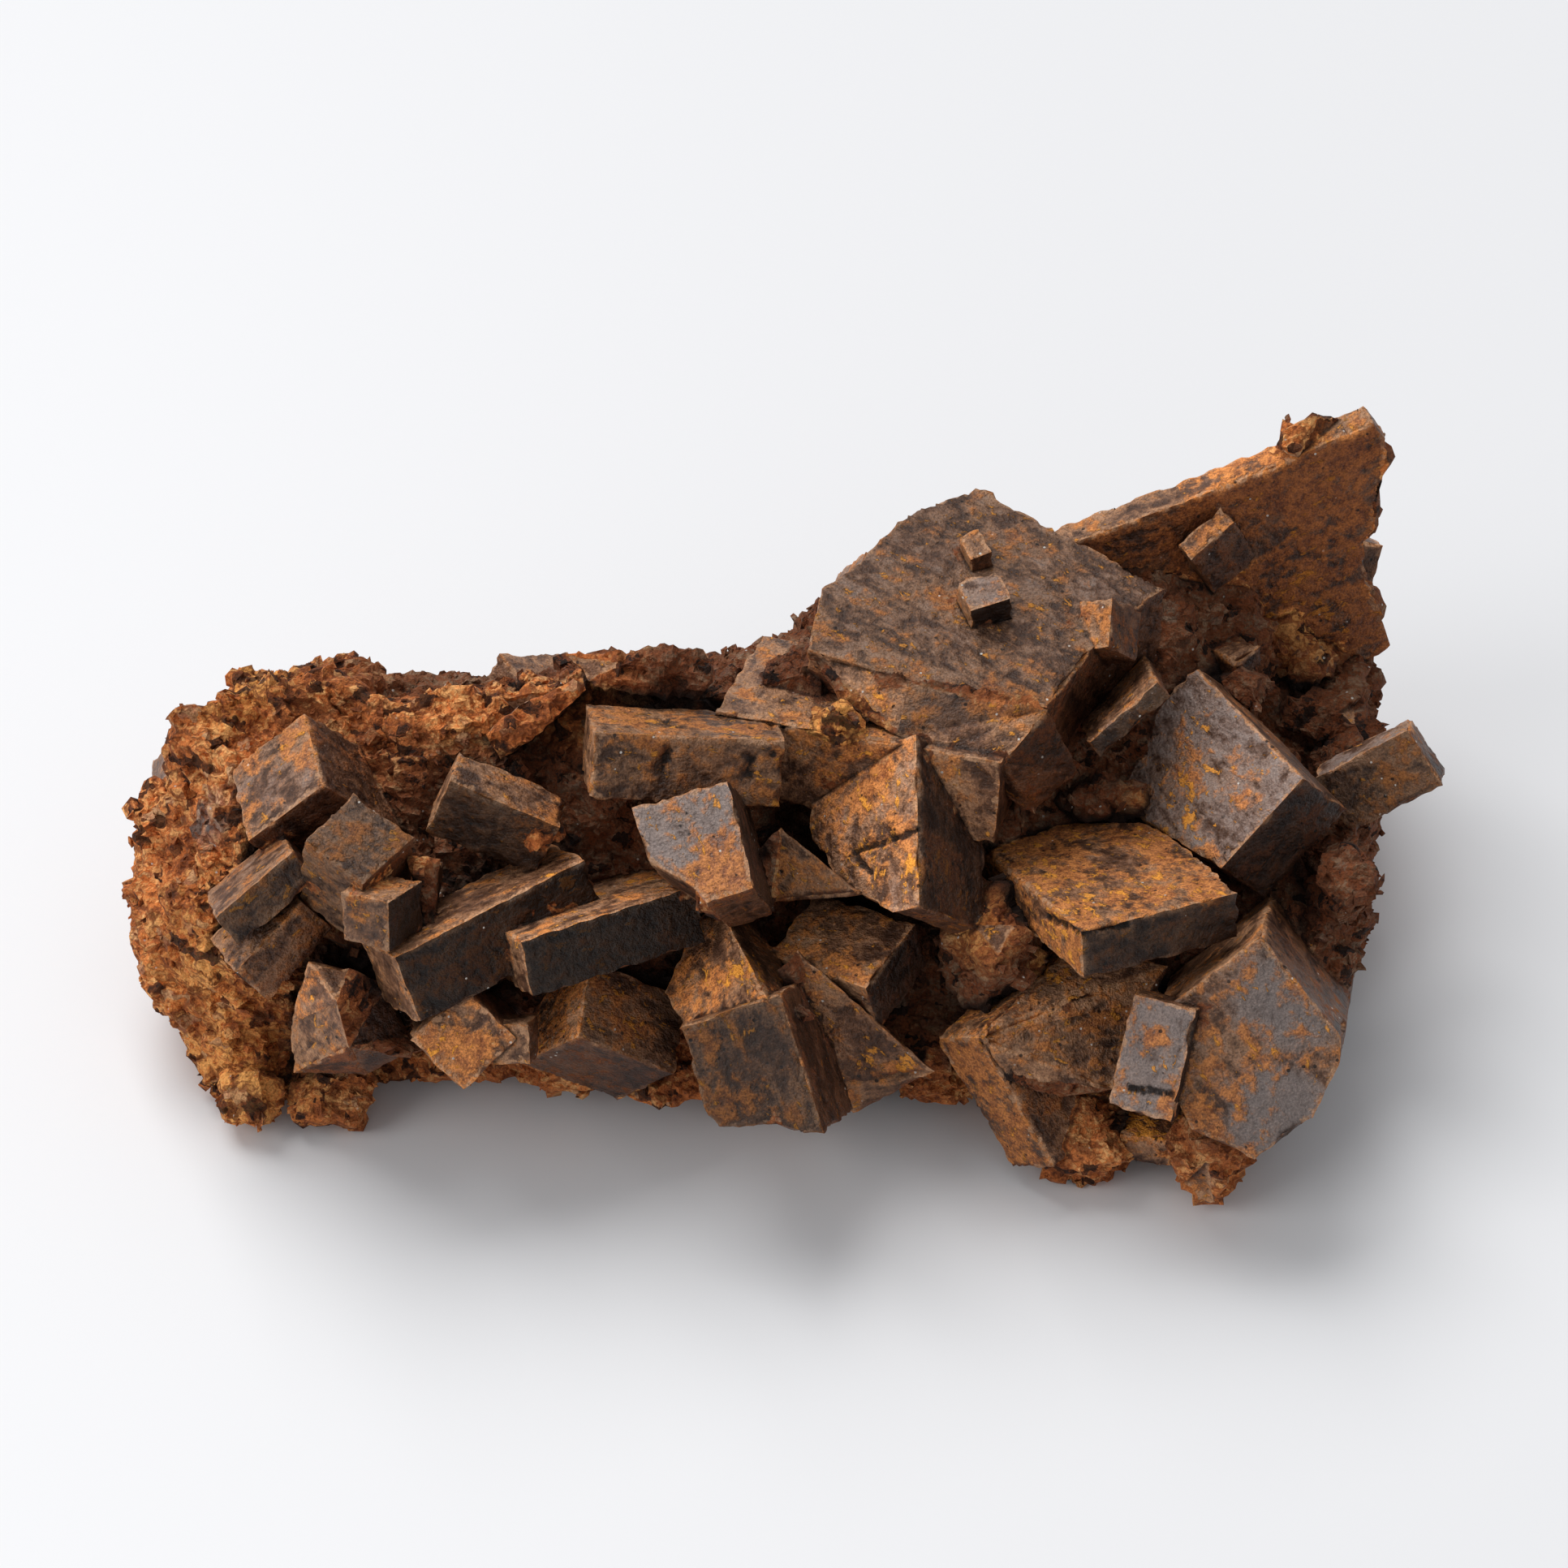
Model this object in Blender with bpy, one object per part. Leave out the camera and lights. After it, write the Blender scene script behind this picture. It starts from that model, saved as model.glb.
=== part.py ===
# Limonite pseudomorph after pyrite: a cluster of flat-faced crystals on a rusty matrix, all one solid.
# Metres, +Z up. +X runs to the right of the photograph and +Y away from its camera.
import math
import random

import bmesh
import bpy
from mathutils import Euler, Matrix, Vector, noise

# Real sizes
SPECIMEN_LENGTH = 0.060
EYE_DISTANCE = 0.200
AIM_HEIGHT = 0.010
MATRIX_GRAIN = 0.0024
MATRIX_ROUGH = 0.0009
MATRIX_FINE = 0.0005
MATRIX_BULGE = 0.0012
LUMP_POINTS = 22
LUMP_LEAST = 0.86
MOST_SHIFT = 0.38
SHARD_TAPER = 0.85
FOOT_TRIM = 0.0006

# What was read off the photograph, in its own pixels
LENGTH_READING = 1606.0
PICTURE_CENTRE = (966.0, 966.0)
EYE_ELEVATION = math.radians(45.0)

# Matrix: picture column, then its lower edge, front, top and back edge, each a picture row with the height
# above the table in mm, and last how far it goes on behind, in mm
MATRIX_READINGS = (
    (190, (1250, 4.0), (1120, 7.0), (1040, 9.0), (960, 11.0), 2.0),
    (235, (1318, 2.0), (1100, 9.5), (990, 12.0), (890, 14.5), 4.0),
    (300, (1372, 0.3), (1110, 11.0), (960, 14.0), (845, 16.0), 6.0),
    (390, (1350, 0.4), (1150, 9.0), (985, 13.0), (838, 16.0), 7.0),
    (500, (1335, 1.5), (1170, 9.5), (1010, 13.0), (868, 16.0), 8.0),
    (620, (1338, 2.5), (1190, 9.0), (1020, 13.0), (862, 16.5), 8.0),
    (740, (1330, 3.0), (1190, 8.0), (1010, 13.5), (840, 17.0), 8.5),
    (860, (1345, 3.5), (1190, 7.4), (1000, 13.0), (850, 17.0), 9.0),
    (980, (1345, 3.5), (1190, 7.4), (1000, 12.5), (830, 18.0), 10.0),
    (1090, (1320, 3.5), (1190, 8.0), (960, 13.0), (740, 18.5), 10.0),
    (1200, (1360, 2.0), (1210, 8.0), (960, 13.0), (680, 19.0), 9.0),
    (1310, (1430, 0.0), (1270, 6.5), (980, 12.0), (700, 18.0), 8.0),
    (1420, (1425, 0.0), (1290, 6.0), (960, 11.5), (700, 17.0), 7.0),
    (1530, (1415, 0.0), (1280, 6.0), (930, 11.0), (700, 15.0), 6.0),
    (1610, (1350, 3.0), (1200, 8.0), (900, 9.0), (720, 14.0), 5.0),
    (1670, (1180, 7.0), (1060, 10.5), (930, 11.0), (800, 10.0), 4.0),
)

# Crystals: the nearest corner as picture x, picture y and height in mm, then where each of its three
# edges ends in the picture. A third value on an end is the edge's real length in mm, where it is hidden.
CRYSTAL_READINGS = {
    "brow": ((398, 968, 17.0), (375, 878), (304, 1038), (530, 1042)),
    "button": ((447, 1090, 16.5), (372, 1034), (510, 1032), (443, 1165)),
    "shelf_left": ((360, 1050, 15.5), (264, 1132), (346, 1018, 4.0), (391, 1084)),
    "shelf_low": ((371, 1111, 13.0), (288, 1200), (340, 1070, 4.0), (413, 1146)),
    "cube_small": ((479, 1112, 16.5), (420, 1099), (520, 1086), (480, 1173)),
    "wedge": ((555, 962, 18.0), (690, 1020), (566, 925), (523, 1025)),
    "loaf": ((733, 903, 20.0), (968, 913), (722, 868), (727, 985)),
    "slab_long": ((487, 1180, 14.0), (722, 1058), (444, 1157), (518, 1262)),
    "slab_second": ((640, 1160, 14.0), (855, 1092), (586, 1125), (656, 1230)),
    "pyramid": ((712, 1278, 9.0), (728, 1183), (642, 1310), (832, 1325)),
    "rust_pair": ((572, 1217, 11.5), (572, 1180), (505, 1282), (638, 1281)),
    "rust_cube": ((652, 1262, 10.0), (606, 1262), (662, 1250, 2.0), (654, 1312)),
    "flat_plate": ((1067, 1218, 11.0), (1128, 1139), (945, 1176), (1083, 1270)),
    "roof": ((1235, 940, 18.0), (1280, 842), (882, 876), (1225, 1040)),
    "side_cube": ((1426, 841, 19.0), (1340, 915), (1395, 775), (1442, 859)),
    "side_top": ((1366, 797, 19.5), (1325, 803), (1371, 735), (1402, 816)),
    "end_cube": ((1735, 899, 15.5), (1620, 959), (1778, 968), (1739, 882, 1.8)),
    "low_block": ((1205, 1278, 9.0), (1322, 1162), (1153, 1280), (1300, 1440)),
    "layered": ((1475, 1245, 12.0), (1396, 1223), (1443, 1384), (1485, 1238)),
    "yellow_block": ((1458, 1408, 3.6), (1380, 1398), (1462, 1388, 2.5), (1456, 1441)),
}

# Crystals with a broken outline: corner and edge ends as above, then the outline of the face between the
# first two edges. The third edge gives the thickness.
CUT_READINGS = {
    "book": (((930, 1095, 17.0), (897, 960), (811, 1130), (957, 1127)),
             ((930, 1095), (897, 960), (778, 995), (798, 1062), (856, 1094), (872, 1112))),
    "triangle": (((950, 1250, 12.2), (880, 1104), (868, 1341), (1004, 1275, 2.6)),
                 ((946, 1230), (880, 1104), (862, 1130), (817, 1223), (840, 1266), (890, 1262))),
    "front_plate": (((961, 1224, 12.6), (842, 1262), (1020, 1392), (1004, 1195, 5.0)),
                    ((961, 1224), (840, 1265), (868, 1370), (884, 1391), (955, 1386), (981, 1398),
                     (1016, 1397))),
    "prism": (((1133, 1118, 15.0), (1129, 905), (1000, 1150), (1215, 1147)),
              ((1133, 1118), (1129, 905), (1045, 924), (1000, 977), (997, 1030), (1040, 1092), (1100, 1124))),
    "great_face": (((1222, 935, 19.0), (1437, 728), (992, 806), (1215, 1040)),
                   ((1290, 872), (1345, 800), (1415, 738), (1437, 725), (1314, 659), (1222, 612), (1202, 603),
                    (1165, 613), (1119, 630), (1049, 700), (1012, 725), (994, 800), (1120, 838))),
    "big_cube": (((1606, 959, 16.0), (1505, 1070), (1474, 821), (1660, 998)),
                 ((1606, 959), (1474, 821), (1400, 893), (1380, 915), (1313, 991), (1318, 1008), (1390, 1000),
                  (1440, 1030), (1505, 1070))),
    "rust_top": (((1332, 1148, 15.5), (1210, 1046), (1526, 1100), (1335, 1206)),
                 ((1332, 1148), (1210, 1046), (1240, 1038), (1290, 1022), (1310, 1013), (1412, 1012),
                  (1440, 1030), (1485, 1062), (1526, 1100))),
    "corner_block": (((1553, 1153, 14.5), (1425, 1251), (1660, 1285), (1576, 1070)),
                     ((1553, 1153), (1425, 1251), (1440, 1330), (1467, 1394), (1546, 1429), (1618, 1377),
                      (1650, 1312), (1655, 1280))),
    "wing": (((1330, 655, 19.6), (1660, 525), (1435, 937), (1322, 636, 1.5)),
             ((1296, 680), (1325, 668), (1460, 618), (1600, 563), (1660, 534), (1692, 520), (1706, 540), (1708, 570),
              (1695, 616), (1692, 655), (1680, 668), (1685, 724), (1702, 760), (1713, 795), (1700, 810),
              (1681, 813), (1676, 850), (1678, 900), (1600, 940), (1296, 1000))),
}

# Small crystals grown on the big faces
SMALL_READINGS = {
    "face_cube_top": ((1196, 690, 20.3), (1222, 680), (1180, 660), (1200, 720)),
    "face_cube": ((1196, 753, 20.5), (1247, 737), (1178, 717), (1198, 793)),
    "recess_cube": ((1222, 972, 15.0), (1242, 965), (1205, 955), (1222, 1000)),
    "wing_cube": ((1468, 690, 18.8), (1522, 643), (1450, 671), (1497, 733)),
    "wing_cube_low": ((1522, 814, 14.3), (1488, 798), (1555, 795), (1525, 840)),
}

# Broken plates: the outline of the near side as picture x, picture y and height in mm, then the depth in mm
SHARD_READINGS = {
    "shelf_plate": (((600, 905, 17.5), (617, 936, 16.5), (690, 881, 18.0), (722, 850, 18.5),
                     (718, 836, 18.6), (640, 868, 18.2)), 4.0),
    "worn": (((379, 1183, 11.5), (430, 1195, 11.3), (475, 1215, 9.8), (500, 1277, 7.0), (497, 1300, 6.0),
              (450, 1325, 5.0), (362, 1322, 4.5), (357, 1262, 7.2), (415, 1235, 11.3), (430, 1290, 9.2)), 4.5),
    "wing_tip": (((1575, 550, 22.4), (1581, 532, 23.2), (1622, 514, 23.6), (1650, 518, 23.0),
                  (1657, 530, 22.3), (1600, 562, 22.2)), 1.5),
    "rim": (((700, 808, 18.8), (770, 818, 19.3), (865, 803, 19.6), (882, 830, 19.0),
             (860, 862, 17.5), (800, 850, 18.0), (725, 838, 18.4)), 3.0),
    "great_slope": (((1000, 803, 19.0), (1120, 840, 19.2), (1292, 874, 19.3), (1330, 950, 15.5),
                     (1275, 1000, 14.0), (1235, 942, 17.6), (1105, 905, 17.9), (1040, 870, 18.0)), 4.0),
    "tent": (((984, 1173, 12.5), (1152, 1320, 6.5), (1051, 1373, 3.5), (1015, 1340, 5.0),
              (963, 1195, 11.2)), 5.0),
    "flake": (((503, 1057, 15.6), (541, 1060, 15.4), (535, 1128, 13.6), (520, 1150, 13.0),
               (512, 1085, 15.0)), 3.0),
    "low_face": (((1205, 1278, 9.2), (1322, 1162, 9.4), (1440, 1190, 8.8), (1405, 1235, 8.2),
                  (1370, 1342, 6.2), (1305, 1352, 5.8), (1240, 1325, 7.2)), 3.0),
    "low_wedge": (((963, 1021, 16.5), (1066, 1104, 14.5), (950, 1112, 13.0), (932, 1050, 15.0)), 5.0),
}

# Lumps: picture x, picture y and height in mm of the middle, then the three half sizes in mm
LUMP_READINGS = {
    "foot_left": ((312, 1346, 2.2), (1.7, 1.8, 1.4)),
    "foot_ledge": ((405, 1343, 2.0), (2.5, 1.8, 1.3)),
    "foot_right": ((1492, 1415, 3.2), (2.0, 2.4, 2.4)),
    "foot_mid": ((1330, 1400, 2.5), (2.6, 2.4, 2.4)),
    "rust_mound": ((1215, 1165, 10.0), (2.7, 2.6, 2.8)),
    "roof_nodule": ((1030, 900, 17.5), (1.5, 1.2, 1.2)),
    "grey_nub": ((1530, 850, 13.0), (1.2, 1.2, 1.0)),
    "tan_nub": ((1618, 820, 11.0), (1.4, 1.2, 0.9)),
    "low_nub": ((1620, 890, 9.8), (2.2, 1.8, 1.6)),
    "end_nub": ((1660, 1085, 11.0), (1.4, 1.6, 1.8)),
    "ledge_nub": ((1362, 985, 12.2), (2.0, 1.3, 1.1)),
    "wedge_nub": ((668, 1026, 15.2), (1.0, 0.8, 0.7)),
    "book_nub": ((895, 1085, 15.5), (1.3, 1.0, 1.0)),
}

# Crystals on the hidden sides: middle, size and turn, in mm and degrees
BACK_CRYSTALS = {
    "back_left": ((-22.0, 3.5, 6.0), (5.0, 4.0, 5.0), (20, 15, 35)),
    "back_low": ((-15.0, 5.0, 4.0), (5.5, 4.5, 4.5), (-15, 25, 10)),
    "back_step": ((-8.0, 5.0, 5.5), (5.0, 4.5, 4.5), (30, -10, 25)),
    "back_mid": ((0.5, 7.5, 5.0), (6.0, 5.0, 6.0), (12, 28, -20)),
    "back_tall": ((7.5, 10.0, 9.0), (6.0, 5.0, 7.0), (-18, 12, 30)),
    "back_side": ((14.5, 11.0, 7.0), (6.5, 5.0, 5.5), (25, -20, 15)),
    "back_right": ((21.5, 12.0, 8.0), (5.0, 5.0, 6.5), (-12, 32, -30)),
    "back_far": ((-27.0, 0.5, 8.5), (4.0, 4.0, 4.0), (35, 20, 10)),
    "back_shelf": ((-11.5, 5.5, 9.5), (4.5, 4.0, 3.5), (10, 30, 40)),
    "back_ledge": ((-3.0, 6.3, 8.2), (5.5, 4.0, 4.0), (-20, 15, 15)),
    "back_notch": ((4.5, 9.0, 12.0), (4.5, 4.0, 4.5), (30, 25, -10)),
    "wing_root": ((19.5, 11.0, 12.0), (6.5, 5.0, 5.5), (18, 28, 32)),
    "wing_brace": ((25.0, 12.3, 11.5), (4.5, 4.5, 5.5), (-25, 20, 10)),
}


class Picture:
    # Turns a place in the photograph into a line of sight, and a height above the table into a point on it

    def __init__(self):
        self.scale = SPECIMEN_LENGTH / LENGTH_READING
        self.right = Vector((1, 0, 0))
        self.up = Vector((0, math.sin(EYE_ELEVATION), math.cos(EYE_ELEVATION)))
        self.back = Vector((0, -math.cos(EYE_ELEVATION), math.sin(EYE_ELEVATION)))
        self.eye = Vector((0, 0, AIM_HEIGHT)) + self.back * EYE_DISTANCE

    def ray(self, x, y):
        across = (x - PICTURE_CENTRE[0]) * self.scale
        down = (y - PICTURE_CENTRE[1]) * self.scale
        return (self.right * across - self.up * down - self.back * EYE_DISTANCE).normalized()

    def point(self, x, y, height):
        way = self.ray(x, y)
        return self.eye + way * ((height / 1000 - self.eye.z) / way.z)


PICTURE = Picture()


def new_object(name, bm, collection):
    mesh = bpy.data.meshes.new(name)
    bm.to_mesh(mesh)
    bm.free()
    obj = bpy.data.objects.new(name, mesh)
    collection.objects.link(obj)
    return obj


def crystal_edges(corner, ends):
    # The three edges of a square corner, from where the corner and the ends of its edges lie in the picture
    near = PICTURE.point(*corner)
    sight = PICTURE.ray(corner[0], corner[1])
    rays = [PICTURE.ray(end[0], end[1]) for end in ends]
    flat = [(ray - sight * ray.dot(sight)).normalized() for ray in rays]
    edges = []
    for i in range(3):
        j = (i + 1) % 3
        k = (i + 2) % 3
        slope = math.sqrt(-flat[i].dot(flat[j]) * flat[i].dot(flat[k]) / flat[j].dot(flat[k]))
        way = (flat[i] + sight * slope).normalized()
        if len(ends[i]) > 2:
            length = ends[i][2] / 1000
        else:
            length = (near - PICTURE.eye).cross(rays[i]).length / way.cross(rays[i]).length
        edges.append(way * length)
    return near, edges


def add_box(name, near, edges, collection):
    bm = bmesh.new()
    corners = {}
    for i in (0, 1):
        for j in (0, 1):
            for k in (0, 1):
                corners[(i, j, k)] = bm.verts.new(near + edges[0] * i + edges[1] * j + edges[2] * k)
    for axis in range(3):
        others = [n for n in range(3) if n != axis]
        for side in (0, 1):
            loop = []
            for first, second in ((0, 0), (1, 0), (1, 1), (0, 1)):
                key = [side, side, side]
                key[others[0]] = first
                key[others[1]] = second
                loop.append(corners[tuple(key)])
            bm.faces.new(loop)
    bmesh.ops.recalc_face_normals(bm, faces=bm.faces)
    return new_object(name, bm, collection)


def add_cut_crystal(name, corner, ends, outline, collection):
    near, edges = crystal_edges(corner, ends)
    normal = edges[0].cross(edges[1])
    bm = bmesh.new()
    front = []
    for x, y in outline:
        way = PICTURE.ray(x, y)
        distance = (near - PICTURE.eye).dot(normal) / way.dot(normal)
        front.append(bm.verts.new(PICTURE.eye + way * distance))
    rear = [bm.verts.new(vert.co + edges[2]) for vert in front]
    bm.faces.new(front)
    bm.faces.new(rear)
    for i in range(len(front)):
        bm.faces.new((front[i - 1], front[i], rear[i], rear[i - 1]))
    bmesh.ops.recalc_face_normals(bm, faces=bm.faces)
    return new_object(name, bm, collection)


def roughen(bm, amount, size, seed):
    shift = Vector((seed * 0.137, seed * 0.071, seed * 0.193))
    bm.normal_update()
    moves = []
    for vert in bm.verts:
        push = noise.noise((vert.co + shift) / size) * amount
        room = min(edge.calc_length() for edge in vert.link_edges) * MOST_SHIFT
        moves.append(vert.normal * max(-room, min(room, push)))
    for vert, move in zip(bm.verts, moves):
        vert.co += move


def split_long_edges(bm, limit):
    for _ in range(8):
        long_edges = [edge for edge in bm.edges if edge.calc_length() > limit]
        if not long_edges:
            break
        bmesh.ops.subdivide_edges(bm, edges=long_edges, cuts=1)
        bmesh.ops.triangulate(bm, faces=bm.faces)


def add_matrix(collection):
    bm = bmesh.new()
    rings = []
    for column, low, front, top, back, behind in MATRIX_READINGS:
        lower, shoulder, roof, rear = [PICTURE.point(column, *place) for place in (low, front, top, back)]
        depth = behind / 1000
        belly = (lower + shoulder) / 2 + Vector((0, -0.0004, 0))
        tail = Vector((rear.x, rear.y + depth, rear.z * 0.6))
        heel = Vector((rear.x, rear.y + depth * 0.75, min(max(lower.z, 0.0012), rear.z * 0.3)))
        under = (heel + lower) / 2
        under.z = min(heel.z, lower.z) + 0.0008
        ring = (lower, belly, shoulder, roof, rear, tail, heel, under)
        rings.append([bm.verts.new(point) for point in ring])
    for one, two in zip(rings, rings[1:]):
        for i in range(8):
            j = (i + 1) % 8
            bm.faces.new((one[i], one[j], two[j], two[i]))
    for ring, bulge in ((rings[0], -MATRIX_BULGE), (rings[-1], MATRIX_BULGE)):
        middle = sum((vert.co for vert in ring), Vector()) / len(ring)
        tip = bm.verts.new(middle + Vector((bulge, 0, 0)))
        for i in range(8):
            bm.faces.new((ring[i - 1], ring[i], tip))
    bmesh.ops.triangulate(bm, faces=bm.faces)
    bmesh.ops.recalc_face_normals(bm, faces=bm.faces)
    split_long_edges(bm, MATRIX_GRAIN)
    roughen(bm, MATRIX_ROUGH * 2, 0.0045, 1)
    roughen(bm, MATRIX_FINE * 2, 0.0019, 2)
    return new_object("matrix", bm, collection)


def add_lump(name, middle, half, seed, collection):
    # A broken stone: the hull of a few points scattered over an ellipsoid
    chance = random.Random(seed)
    bm = bmesh.new()
    for _ in range(LUMP_POINTS):
        way = Vector([chance.gauss(0, 1) for axis in range(3)]).normalized()
        bm.verts.new(way * chance.uniform(LUMP_LEAST, 1.0))
    bmesh.ops.convex_hull(bm, input=bm.verts)
    inside = [vert for vert in bm.verts if not vert.link_faces]
    bmesh.ops.delete(bm, geom=inside, context="VERTS")
    bmesh.ops.scale(bm, verts=bm.verts, vec=Vector(half) / 1000)
    bmesh.ops.translate(bm, verts=bm.verts, vec=PICTURE.point(*middle))
    return new_object(name, bm, collection)


def add_shard(name, outline, depth, collection):
    # A broken plate: its near side as read, drawn back along the line of sight and slightly smaller there
    near = [PICTURE.point(*place) for place in outline]
    middle = sum(near, Vector()) / len(near)
    away = -PICTURE.back * depth / 1000
    far = [middle + (point - middle) * SHARD_TAPER + away for point in near]
    bm = bmesh.new()
    for point in near + far:
        bm.verts.new(point)
    bmesh.ops.convex_hull(bm, input=bm.verts)
    inside = [vert for vert in bm.verts if not vert.link_faces]
    bmesh.ops.delete(bm, geom=inside, context="VERTS")
    bmesh.ops.recalc_face_normals(bm, faces=bm.faces)
    return new_object(name, bm, collection)


def add_block(name, middle, size, turn, collection):
    bm = bmesh.new()
    bmesh.ops.create_cube(bm, size=1)
    bmesh.ops.scale(bm, verts=bm.verts, vec=Vector(size) / 1000)
    turned = Euler([math.radians(angle) for angle in turn]).to_matrix()
    bmesh.ops.rotate(bm, verts=bm.verts, cent=(0, 0, 0), matrix=turned)
    bmesh.ops.translate(bm, verts=bm.verts, vec=Vector(middle) / 1000)
    return new_object(name, bm, collection)


def helper(obj):
    obj.hide_render = True
    obj.display_type = "WIRE"


def join_all(body, collection):
    union = body.modifiers.new("grown_together", "BOOLEAN")
    union.operation = "UNION"
    union.solver = "EXACT"
    union.operand_type = "COLLECTION"
    union.collection = collection
    union.use_self = True


def cut_foot(body, collection):
    bm = bmesh.new()
    bmesh.ops.create_cube(bm, size=1)
    bmesh.ops.scale(bm, verts=bm.verts, vec=(0.12, 0.12, 0.02))
    bmesh.ops.translate(bm, verts=bm.verts, vec=(0, 0, FOOT_TRIM - 0.01))
    cutter = new_object("foot_cutter", bm, collection)
    helper(cutter)
    trim = body.modifiers.new("flat_foot", "BOOLEAN")
    trim.operation = "DIFFERENCE"
    trim.solver = "EXACT"
    trim.object = cutter


def limonite_material():
    material = bpy.data.materials.new("limonite")
    material.use_nodes = True
    shader = material.node_tree.nodes["Principled BSDF"]
    shader.inputs["Base Color"].default_value = (0.105, 0.062, 0.038, 1)
    shader.inputs["Roughness"].default_value = 0.55
    shader.inputs["Metallic"].default_value = 0.0
    return material


def connected_faces(bm):
    groups = []
    left = set(bm.faces)
    while left:
        waiting = [left.pop()]
        group = []
        while waiting:
            face = waiting.pop()
            group.append(face)
            for edge in face.edges:
                for other in edge.link_faces:
                    if other in left:
                        left.remove(other)
                        waiting.append(other)
        groups.append(group)
    return sorted(groups, key=len)


def fill_pockets(mesh):
    # Pockets shut in between the crystals are filled: only the outer surface stays
    bm = bmesh.new()
    bm.from_mesh(mesh)
    inner = [face for group in connected_faces(bm)[:-1] for face in group]
    bmesh.ops.delete(bm, geom=inner, context="FACES")
    bm.to_mesh(mesh)
    bm.free()


def bake(body):
    # The joined solid as a plain mesh, its origin at the middle of its foot
    graph = bpy.context.evaluated_depsgraph_get()
    mesh = bpy.data.meshes.new_from_object(body.evaluated_get(graph))
    body.modifiers.clear()
    body.data = mesh
    fill_pockets(mesh)
    low = Vector([min(vert.co[i] for vert in mesh.vertices) for i in range(3)])
    high = Vector([max(vert.co[i] for vert in mesh.vertices) for i in range(3)])
    shift = Vector((-(low.x + high.x) / 2, -(low.y + high.y) / 2, -low.z))
    mesh.transform(Matrix.Translation(shift))
    print("moved by", [round(value * 1000, 4) for value in shift], "mm")


def main():
    for obj in list(bpy.data.objects):
        bpy.data.objects.remove(obj)
    scene = bpy.context.scene.collection
    pieces = bpy.data.collections.new("pieces")
    scene.children.link(pieces)
    body = add_matrix(scene)
    body.name = "limonite_cluster"
    for readings in (CRYSTAL_READINGS, SMALL_READINGS):
        for name, (corner, *ends) in readings.items():
            near, edges = crystal_edges(corner, ends)
            helper(add_box(name, near, edges, pieces))
    for name, ((corner, *ends), outline) in CUT_READINGS.items():
        helper(add_cut_crystal(name, corner, ends, outline, pieces))
    for seed, (name, (middle, half)) in enumerate(LUMP_READINGS.items()):
        helper(add_lump(name, middle, half, seed, pieces))
    for name, (outline, depth) in SHARD_READINGS.items():
        helper(add_shard(name, outline, depth, pieces))
    for name, (middle, size, turn) in BACK_CRYSTALS.items():
        helper(add_block(name, middle, size, turn, pieces))
    join_all(body, pieces)
    cut_foot(body, scene)
    bpy.context.view_layer.update()
    bake(body)
    body.data.materials.clear()
    body.data.materials.append(limonite_material())


main()
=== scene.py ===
import math
import random

import bmesh
import bpy
from mathutils import Matrix, Vector, noise
from mathutils.bvhtree import BVHTree
from mathutils.kdtree import KDTree


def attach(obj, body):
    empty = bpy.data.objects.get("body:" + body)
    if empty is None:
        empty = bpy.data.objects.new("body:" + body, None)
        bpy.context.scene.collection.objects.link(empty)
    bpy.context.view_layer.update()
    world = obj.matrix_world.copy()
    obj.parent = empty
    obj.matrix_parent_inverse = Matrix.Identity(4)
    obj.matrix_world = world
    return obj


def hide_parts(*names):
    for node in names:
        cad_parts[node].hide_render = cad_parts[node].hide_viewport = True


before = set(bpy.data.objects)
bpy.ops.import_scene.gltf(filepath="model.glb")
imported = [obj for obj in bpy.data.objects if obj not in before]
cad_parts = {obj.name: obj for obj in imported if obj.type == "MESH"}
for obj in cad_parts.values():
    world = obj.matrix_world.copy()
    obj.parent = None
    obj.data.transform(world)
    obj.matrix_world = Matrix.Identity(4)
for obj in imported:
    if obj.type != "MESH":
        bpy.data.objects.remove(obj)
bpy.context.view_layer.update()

print("frame loaded")

millimetre = 0.001


# Camera: the picture's own view, so a place in the picture can be found on the cluster

view = {
    "pictureSide": 1932,        # pixels across the picture
    "clusterPixels": 1606,      # the cluster's length in the picture, pixels
    "clusterLength": 0.060,
    "distance": 0.200,
    "elevation": 45.0,
    "aim": (0.0, 0.00177, 0.0094),
    "sensor": 36.0,
}


def makeCamera():
    data = bpy.data.cameras.new("camera")
    camera = bpy.data.objects.new("camera", data)
    bpy.context.scene.collection.objects.link(camera)
    tilt = math.radians(view["elevation"])
    away = Vector((0, -math.cos(tilt), math.sin(tilt)))
    camera.location = Vector(view["aim"]) + away * view["distance"]
    camera.rotation_euler = away.to_track_quat("Z", "Y").to_euler()
    width = view["pictureSide"] * view["clusterLength"] / view["clusterPixels"]
    data.sensor_width = view["sensor"]
    data.lens = view["sensor"] * view["distance"] / width
    data.clip_start = 0.005
    data.clip_end = 5
    bpy.context.scene.camera = camera
    return camera


camera = makeCamera()


def sightLine(column, row):
    # The line of sight through a pixel of the picture
    turn = camera.rotation_euler.to_matrix()
    half = view["pictureSide"] / 2
    slope = view["sensor"] / camera.data.lens / view["pictureSide"]
    aimed = Vector(((column - half) * slope, (half - row) * slope, -1))
    return camera.location, (turn @ aimed).normalized()


# Light and floor

light = {
    "sky": (0.95, 0.97, 1.0),
    "skyStrength": 0.40,
    "panelStrength": 66.0,      # watts
    "panelSize": 2.2,
    "panelFrom": (-0.95, 1.50, 2.50),
    "fillStrength": 22.0,
    "fillSize": 1.6,
    "fillFrom": (-2.30, -0.90, 1.50),
    "floor": (0.86, 0.86, 0.872),
    "floorGloss": 0.40,
}


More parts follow.
